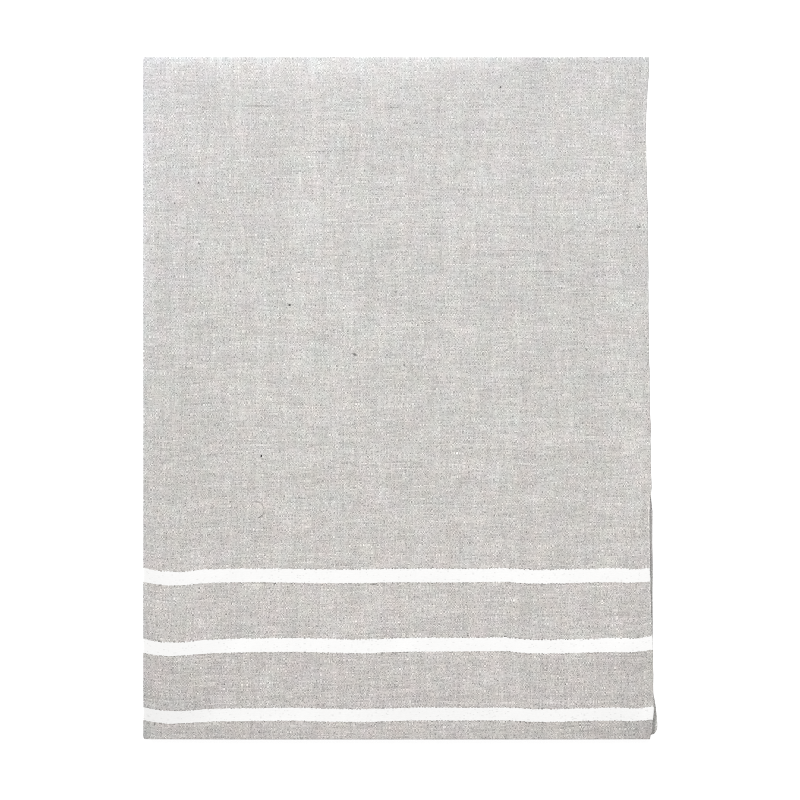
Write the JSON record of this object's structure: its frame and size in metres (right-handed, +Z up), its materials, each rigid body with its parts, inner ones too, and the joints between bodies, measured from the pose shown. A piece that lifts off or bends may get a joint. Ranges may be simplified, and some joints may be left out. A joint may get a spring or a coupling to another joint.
{
  "type": "folded linen beach towel",
  "caption": "Linen beach towel folded flat into a layered pack, with plain white woven bands across it near the hemmed end that lies on top.",
  "frame": {"origin": "on the surface the towel lies on, under the middle of the folded pack's outline", "axes": "+X across the pack from the lengthwise fold to the open side edges, +Y along it from the striped hemmed end to the upper crosswise fold, +Z up"},
  "size_m": [0.4558, 0.606, 0.0097],
  "materials": {
    "linen": "matte plain-woven grey-beige melange linen with plain white woven bands"
  },
  "bodies": {
    "root": {"towel": "linen"}
  },
  "joints": []
}
